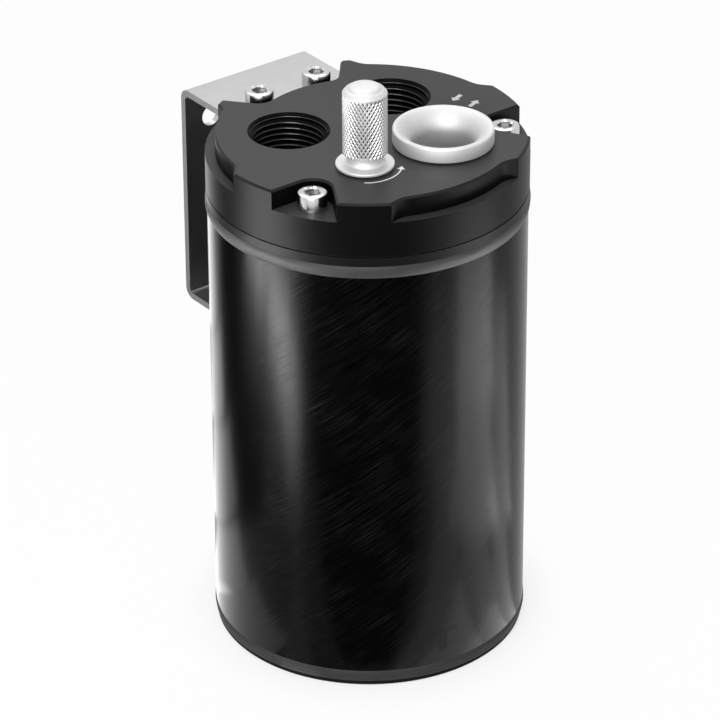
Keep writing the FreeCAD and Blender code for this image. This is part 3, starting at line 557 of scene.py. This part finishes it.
# Cap screws: a head with a hexagon socket, and the shank. The places are on one circle, and
# each screw's own turn follows from its direction.

screw = {"head": 4.25, "height": 5.0, "shank": 2.5, "length": 20.0, "tipChamfer": 0.5, "edge": 0.12,
         "rim": 0.55, "crown": 0.16, "socket": 2.31, "mouth": 2.5, "lead": 0.3, "depth": 2.6, "cone": 0.6,
         "circle": 40.0, "turnShare": 1.7, "turnStart": 11.0, "steps": 96, "soft": 32.0}
# direction from the can's middle and height of the seat
screwPlaces = {"lid_screw_right": (-30, 155.0), "lid_screw_left": (210, 155.0),
               "bracket_screw_right": (75, 157.0), "bracket_screw_left": (105, 157.0)}


def makeScrew(name, node, angle, seat):
    height, head, shank, low = screw["height"], screw["head"], screw["shank"], -screw["length"]
    chamfer, bevel, rim, crown = screw["tipChamfer"], screw["edge"], screw["rim"], screw["crown"]
    bm = bmesh.new()
    outline = [(shank - chamfer, low), (shank, low + chamfer), (shank, 0), (head - bevel, 0), (head, bevel),
               (head, height - rim), (head - crown, height - crown), (head - rim, height)]
    corners = [bm.verts.new((radius * mm, 0, z * mm)) for radius, z in outline]
    edges = [bm.edges.new(pair) for pair in zip(corners, corners[1:])]
    bmesh.ops.spin(bm, geom=corners + edges, cent=(0, 0, 0), axis=(0, 0, 1), angle=math.tau,
                   steps=screw["steps"], use_merge=True)
    bottom = [edge for edge in bm.edges if edge.is_boundary and edge.verts[0].co.z < 0]
    bmesh.ops.holes_fill(bm, edges=bottom, sides=0)
    ring = [edge for edge in bm.edges if edge.is_boundary]
    rings = ((screw["mouth"], 0, False), (screw["socket"], screw["lead"], True),
             (screw["socket"], screw["depth"], True))
    for radius, drop, hexagon in rings:
        grown = bmesh.ops.extrude_edge_only(bm, edges=ring)["geom"]
        ring = [item for item in grown if isinstance(item, bmesh.types.BMEdge)]
        for vert in {vert for edge in ring for vert in edge.verts}:
            turn, reach = math.atan2(vert.co.y, vert.co.x), radius
            if hexagon:
                half = math.pi / 6
                reach = radius * math.cos(half) / math.cos(turn % (half * 2) - half)
            vert.co = Vector((reach * math.cos(turn), reach * math.sin(turn), height - drop)) * mm
    tip = bmesh.ops.holes_fill(bm, edges=ring, sides=0)["faces"]
    poked = bmesh.ops.poke(bm, faces=tip, offset=0.0)["verts"]
    for vert in poked:
        vert.co.z -= screw["cone"] * mm
    bmesh.ops.remove_doubles(bm, verts=bm.verts, dist=meshing["fine"])
    bmesh.ops.recalc_face_normals(bm, faces=bm.faces)
    turn = Matrix.Rotation(math.radians(angle * screw["turnShare"] + screw["turnStart"]), 3, "Z")
    bmesh.ops.rotate(bm, verts=bm.verts, cent=(0, 0, 0), matrix=turn)
    spot = Vector((math.cos(math.radians(angle)), math.sin(math.radians(angle)), 0)) * screw["circle"] * mm
    bmesh.ops.translate(bm, verts=bm.verts, vec=spot + Vector((0, 0, seat * mm)))
    finishPiece(bm, name, "can", [screwSteel], node, screw["soft"])


for node, (angle, seat) in screwPlaces.items():
    words = node.split("_")
    makeScrew(words[0] + "Screw" + words[2].capitalize(), node, angle, seat)
print("screws made")


# Outlet bell

bell = {"place": (12.14, -19.888, 161.0), "rim": 14.65, "throat": 9.1, "stem": 11.05, "low": -18.5,
        "gap": 0.5, "height": 5.0, "rimWidth": 1.2, "depth": 6.6, "chamfer": 0.6, "edge": (0.35, 0.1),
        "steps": 192, "rimArc": 8, "throatArc": 14, "soft": 40.0}


def makeBell():
    rim, half, top, low, gap = bell["rim"], bell["rimWidth"] / 2, bell["height"], bell["low"], bell["gap"]
    chamfer, (wide, slim) = bell["chamfer"], bell["edge"]
    section = [(bell["throat"], low), (bell["stem"] - chamfer, low), (bell["stem"], low + chamfer),
               (bell["stem"], gap), (rim - wide, gap), (rim - slim, gap + slim), (rim, gap + wide)]
    for step in range(bell["rimArc"] + 1):
        turn = math.radians(90 * step / bell["rimArc"])
        section.append((rim - half + half * math.cos(turn), top - half + half * math.sin(turn)))
    inner = rim - bell["rimWidth"]
    width = inner - bell["throat"]
    radius = (width * width + bell["depth"] ** 2) / width / 2
    spread = math.asin(bell["depth"] / radius)
    for step in range(bell["throatArc"] + 1):
        turn = spread * (1 - step / bell["throatArc"])
        section.append((bell["throat"] + radius - radius * math.cos(turn),
                        top - bell["depth"] + radius * math.sin(turn)))
    bm = turnSection(section, bell["steps"], bell["place"])
    finishPiece(bm, "outletBell", "can", [blastedAluminium], "outlet_bell",
                bell["soft"])


makeBell()
print("bell made")


# Dipstick knob: turned body and a diamond knurl of its own

# The profiles give radius and height over the lid, from the rod's hole up to the cap. The pit
# is the knurl's sunk radius, flat the percentage of a mesh edge that the pit's floor takes,
# and inset how far the knurl's ends reach into the core.
knob = {"place": (-14.7, -18.198, 161.0), "steps": 160, "core": 5.9, "ridge": 6.42, "pit": 5.98,
        "inset": 0.4, "foot": 4.8, "knurlTop": 23.2, "teeth": 33, "rows": 19, "flat": 40.0,
        "soft": 30.0, "knurlSoft": 12.0,
        "stem": ((0, -3.5), (2.03, -3.5), (2.03, -11.5), (4.35, -11.5), (4.95, -10.9), (4.95, 0.5)),
        "flange": ((8.1, 0.5), (8.35, 0.6), (8.45, 0.85), (8.45, 1.2), (8.3, 1.42), (8.1, 1.48),
                   (7.2, 1.5)),
        "flare": ((6.1, 1.52), (5.72, 1.6), (5.45, 1.78), (5.28, 2.05), (5.2, 2.4), (5.16, 3.2), (5.2, 3.9),
                  (5.4, 4.3), (5.95, 4.72), (5.9, 4.9)),
        "collar": ((5.9, 23.1), (6.4, 23.18), (6.4, 23.26)),
        "cap": ((5.62, 24.22), (5.3, 24.36), (5.06, 24.42), (4.88, 24.5), (4.76, 24.64), (4.62, 24.84),
                (4.4, 25.02), (4.1, 25.18), (3.7, 25.3), (3.1, 25.4), (2.1, 25.47), (0, 25.5))}


def makeKnobBody():
    section = knob["stem"] + knob["flange"] + knob["flare"] + knob["collar"] + knob["cap"]
    bm = turnSection(section, knob["steps"], knob["place"])
    finishPiece(bm, "knobBody", "dipstick", [blastedAluminium], "dipstick_knob",
                knob["soft"])


# Two sets of sloping ridges cross and leave a small sunk diamond in each mesh: every
# second crossing of the grid is sunk, and the ridges run along the diagonals between.
def makeKnurl():
    columns, rows = knob["teeth"] * 2, knob["rows"]
    rise = (knob["knurlTop"] - knob["foot"]) / rows
    section = [(knob["ridge"], knob["foot"] + rise * row) for row in range(rows + 1)]
    inside = knob["core"] - knob["inset"]
    section += [(inside, knob["knurlTop"]), (inside, knob["foot"])]
    bm = turnSection(section, columns)
    crossings, pits = [], []
    for vert in bm.verts:
        if vert.co.to_2d().length < knob["core"] * mm:
            continue
        column = round(math.atan2(vert.co.y, vert.co.x) / math.tau * columns)
        row = round((vert.co.z / mm - knob["foot"]) / rise)
        sunk = (column + row) % 2 == 0 and 0 < row < rows
        (pits if sunk else crossings).append(vert)
    bmesh.ops.connect_verts(bm, verts=crossings)
    for vert in pits:
        vert.co.x *= knob["pit"] / knob["ridge"]
        vert.co.y *= knob["pit"] / knob["ridge"]
    bevelled = bmesh.ops.bevel(bm, geom=pits, offset=knob["flat"], offset_type="PERCENT", segments=1,
                               profile=0.5, affect="VERTICES", material=-1, clamp_overlap=False)
    # Painted shade: the sunk pit floors take the darker aluminium
    for face in bevelled["faces"]:
        face.material_index = 1
    bmesh.ops.recalc_face_normals(bm, faces=bm.faces)
    bmesh.ops.translate(bm, verts=bm.verts, vec=Vector(knob["place"]) * mm)
    # Painted shade: the knurl takes the darker copy of the knob's aluminium
    finishPiece(bm, "knobKnurl", "dipstick", [knurlAluminiumPaintedShade, pitAluminiumPaintedShade],
                soft=knob["knurlSoft"])


makeKnobBody()
makeKnurl()
print("knob made")


# Plain generic marks on the lid: an arrow to a port, one from the outlet, a turning mark

marks = {"top": 161.03, "foot": 160.99,
         "arrow": ((0, 0), (1.85, 1.5), (1.85, 0.65), (4.7, 0.65), (4.7, -0.65), (1.85, -0.65),
                   (1.85, -1.5))}
# place of each arrow's tip and its heading
arrows = {"markPortIn": (30.9, -0.3, 20.0), "markOutletOut": (37.0, -4.6, 200.0)}
turningMark = {"radius": 10.4, "start": -128.0, "end": -48.0, "width": 0.5, "head": 1.9, "headSide": 1.14,
               "steps": 24}


def markFromOutline(name, points):
    bm = bmesh.new()
    corners = [bm.verts.new((x * mm, y * mm, marks["foot"] * mm)) for x, y in points]
    face = bm.faces.new(corners)
    raised = bmesh.ops.extrude_face_region(bm, geom=[face])["geom"]
    bmesh.ops.translate(bm, verts=[item for item in raised if isinstance(item, bmesh.types.BMVert)],
                        vec=(0, 0, (marks["top"] - marks["foot"]) * mm))
    bmesh.ops.recalc_face_normals(bm, faces=bm.faces)
    finishPiece(bm, name, "can", [whitePrint])


def makeArrow(name, x, y, heading):
    cosine, sine = math.cos(math.radians(heading)), math.sin(math.radians(heading))
    points = [(x + cosine * back - sine * side, y + sine * back + cosine * side)
              for back, side in marks["arrow"]]
    markFromOutline(name, points)


# A thin arc round the knob that ends in an arrow head
def makeTurningMark():
    radius, half, steps = turningMark["radius"], turningMark["width"] / 2, turningMark["steps"]
    start, end, side = turningMark["start"], turningMark["end"], turningMark["headSide"]
    turns = [start + (end - start) * step / steps for step in range(steps + 1)]
    tip = end + math.degrees(turningMark["head"] / radius)
    outline = [(radius + half, turn) for turn in turns]
    outline += [(radius + side, end), (radius, tip), (radius - side, end)]
    outline += [(radius - half, turn) for turn in reversed(turns)]
    x, y = knob["place"][:2]
    points = [(x + reach * math.cos(math.radians(turn)), y + reach * math.sin(math.radians(turn)))
              for reach, turn in outline]
    markFromOutline("markTurn", points)


for name, row in arrows.items():
    makeArrow(name, *row)
makeTurningMark()
print("marks made")


# Pieces that keep their solids

keptFinishes = {"lid_o_ring": sealRubber, "outlet_o_ring": sealRubber, "dipstick_o_ring": sealRubber,
                "dipstick_rod": screwSteel, "baffle_plate": plainAluminium, "filter_pad": filterFleece,
                "drain_plug": screwSteel, "drain_seal": plainAluminium}
for side in ("rear", "right", "left"):
    keptFinishes["baffle_post_" + side] = plainAluminium
    keptFinishes["baffle_screw_" + side] = screwSteel
for node, material in keptFinishes.items():
    dressNode(node, material)
print("kept solids dressed")


# Floor, lights, camera

# One for rays that see the white surroundings, none for those that bring the room's light
def backgroundRays(tree):
    path = addNode(tree, "LightPath")
    seen = calc(tree, "MAXIMUM", path.outputs["Is Camera Ray"], path.outputs["Is Glossy Ray"])
    return calc(tree, "MAXIMUM", seen, path.outputs["Is Transmission Ray"])


# The size is in metres. The contact shade darkens the floor softly round the can's foot.
floor = {"size": 6.0, "below": 0.05, "shade": 0.88, "glow": 0.96, "contactReach": 16.0, "contactShade": 0.4,
         "contactSamples": 8}


def makeFloor():
    bm = bmesh.new()
    bmesh.ops.create_grid(bm, x_segments=1, y_segments=1, size=floor["size"] / 2)
    bmesh.ops.translate(bm, verts=bm.verts, vec=(0, 0, -floor["below"] * mm))
    material = newMaterial("paleFloor", Roughness=1.0, Specular_IOR_Level=0.0,
                           Base_Color=(floor["shade"], floor["shade"], floor["shade"], 1))
    tree = material.node_tree
    glow = setInputs(addNode(tree, "Emission"), Color=(1, 1, 1, 1), Strength=1.0)
    mix = addNode(tree, "MixShader")
    contact = addNode(tree, "AmbientOcclusion", samples=floor["contactSamples"])
    setInputs(contact, Distance=floor["contactReach"] * mm)
    shaded = floor["glow"] * (1.0 - floor["contactShade"])
    light = between(tree, contact.outputs["AO"], shaded, floor["glow"])
    feed(tree, calc(tree, "MULTIPLY", backgroundRays(tree), light), mix.inputs[0])
    feed(tree, tree.nodes["Principled BSDF"].outputs[0], mix.inputs[1])
    feed(tree, glow.outputs[0], mix.inputs[2])
    feed(tree, mix.outputs[0], tree.nodes["Material Output"].inputs[0])
    meshObject(bm, "studioFloor", material)


# Strength of the room's soft light, and of the white surroundings that are seen
room = {"light": 0.18, "background": 1.0}


def makeWorld():
    world = bpy.data.worlds.new("softStudio")
    bpy.context.scene.world = world
    world.use_nodes = True
    tree = world.node_tree
    tree.nodes.clear()
    light = setInputs(addNode(tree, "Background"), Color=(1, 1, 1, 1), Strength=room["light"])
    seen = setInputs(addNode(tree, "Background"), Color=(1, 1, 1, 1), Strength=room["background"])
    mix = addNode(tree, "MixShader")
    feed(tree, backgroundRays(tree), mix.inputs[0])
    feed(tree, light.outputs[0], mix.inputs[1])
    feed(tree, seen.outputs[0], mix.inputs[2])
    out = addNode(tree, "OutputWorld")
    feed(tree, mix.outputs[0], out.inputs[0])


# The camera: heading is clockwise from +Y, and clip distances are in metres
shot = {"place": (-690.06, -910.94, 730.1), "heading": 37.019, "down": 29.453, "roll": -0.309,
        "lens": 221.44, "sensor": 36.0, "clip": (0.05, 20.0)}

# Each row: azimuth and elevation seen from the can, distance and height of the aim in
# metres, size in metres, and watts
lamps = {"lampAbove": (70, 62, 1.1, 0.12, (0.9, 0.9), 4.6),
         "lampFront": (222, 16, 0.8, 0.12, (0.6, 0.35), 7.5),
         "lampFore": (235, 60, 1.1, 0.12, (0.6, 0.6), 1.7)}
# Fans of panels that lie on the floor and face up, for the long pale reflections on the
# wall. A row gives where a panel starts and ends, its direction, half its opening and its
# radiance. All fans but the open one light the black pieces alone.
fans = {"fanLeft": ((-12, 85, 178, 7, 0.8), (85, 110, 178, 7, 2.5), (110, 140, 176, 7, 8),
                    (140, 170, 176, 8, 24), (170, 200, 172, 9, 50), (200, 228, 166, 9, 74),
                    (228, 255, 156, 12, 38), (255, 330, 150, 13, 34)),
        "fanRight": ((-12, 70, 318, 24, 2.8), (70, 150, 317, 21, 7), (150, 215, 317, 18, 12),
                     (215, 255, 316, 17, 13), (255, 330, 318, 18, 1.2)),
        "fanRim": ((-12, 70, 347, 15, 2.2), (70, 150, 347, 12, 2.8), (150, 215, 344, 9, 3.4)),
        "fanSkirt": ((-12, 120, 290, 15, 2.5), (120, 240, 290, 15, 3)),
        "fanBehind": ((-12, 30, 114, 46, 2.3), (21, 60, 99, 32, 2.5), (60, 120, 92, 24, 2.3),
                      (120, 180, 84, 16, 2), (180, 370, 76, 10, 2.2))}
fanHeight = 1.2
openFan = "fanLeft"
blackNames = ("canWall", "weldTop", "topRing", "lidBlock")
# Black cards on the floor, mirrored as the dark parts of the wall. A row gives where a card
# starts and ends, its direction and half its opening.
cards = {"cardFront": (10, 450, 231, 44), "cardLeft": (70, 400, 126, 28)}
cardHeight = 0.6


# The place on the wall where the camera sees a direction mirrored, and that direction
def mirrored(heading):
    start, heading = math.radians((heading + 270 - shot["heading"]) / 2), math.radians(heading)
    return (Vector((math.cos(start), math.sin(start), 0)) * can["radius"],
            Vector((math.cos(heading), math.sin(heading), 0)))


def addLamp(name, size, watts, place, facing):
    data = bpy.data.lights.new(name, "AREA")
    data.shape = "RECTANGLE"
    data.size, data.size_y = size
    data.energy = watts
    lamp = newObject(name, data)
    lamp.visible_camera = False
    lamp.location = place
    lamp.rotation_euler = facing.to_euler()
    return lamp


def makeLamps():
    for name, (azimuth, elevation, distance, height, size, watts) in lamps.items():
        flat, up = math.radians(azimuth), math.radians(elevation)
        away = Vector((math.cos(flat) * math.cos(up), math.sin(flat) * math.cos(up), math.sin(up)))
        addLamp(name, size, watts, Vector((0, 0, height)) + away * distance, away.to_track_quat("Z", "Y"))
    blackPieces = bpy.data.collections.new("blackPieces")
    for name in blackNames:
        blackPieces.objects.link(bpy.data.objects[name])
    for name, rows in fans.items():
        for number, (near, far, heading, opening, radiance) in enumerate(rows):
            origin, ahead = mirrored(heading)
            middle = (near + far) / 2
            width = (abs(near) + far) * math.tan(math.radians(opening))
            size = ((far - near) * mm, width * mm)
            place = (origin + ahead * middle + Vector((0, 0, fanHeight))) * mm
            facing = Matrix.Rotation(math.radians(heading), 4, "Z") @ Matrix.Rotation(math.pi, 4, "X")
            lamp = addLamp(name + str(number), size, radiance * math.pi * size[0] * size[1], place, facing)
            if name != openFan:
                lamp.light_linking.receiver_collection = blackPieces


def makeCards():
    material = newMaterial("blackCard", Base_Color=(0, 0, 0, 1), Roughness=1.0, Specular_IOR_Level=0.0)
    for name, (near, far, heading, opening) in cards.items():
        origin, ahead = mirrored(heading)
        across = Vector((-ahead.y, ahead.x, 0)) * math.tan(math.radians(opening))
        origin.z = cardHeight
        bm = bmesh.new()
        corners = [bm.verts.new((origin + ahead * reach + across * reach * side) * mm)
                   for reach, side in ((near, -1), (far, -1), (far, 1), (near, 1))]
        bm.faces.new(corners)
        card = meshObject(bm, name, material)
        card.visible_camera = card.visible_diffuse = card.visible_shadow = False


def makeCamera():
    data = bpy.data.cameras.new("photoCamera")
    data.lens, data.sensor_width = shot["lens"], shot["sensor"]
    data.sensor_fit = "HORIZONTAL"
    data.clip_start, data.clip_end = shot["clip"]
    camera = newObject("photoCamera", data)
    heading, down, roll = (math.radians(shot[key]) for key in ("heading", "down", "roll"))
    flat = Vector((math.sin(heading), math.cos(heading), 0))
    level = Vector((math.cos(heading), -math.sin(heading), 0))
    ahead = flat * math.cos(down) - Vector((0, 0, math.sin(down)))
    upward = level.cross(ahead)
    right = level * math.cos(roll) + upward * math.sin(roll)
    upward = right.cross(ahead)
    turn = Matrix((right, upward, -ahead)).transposed()
    camera.matrix_world = Matrix.Translation(Vector(shot["place"]) * mm) @ turn.to_4x4()
    bpy.context.scene.camera = camera


makeFloor()
makeWorld()
makeLamps()
makeCards()
makeCamera()
bpy.context.scene.view_settings.view_transform = "Standard"
print("stage, lamps and camera set")
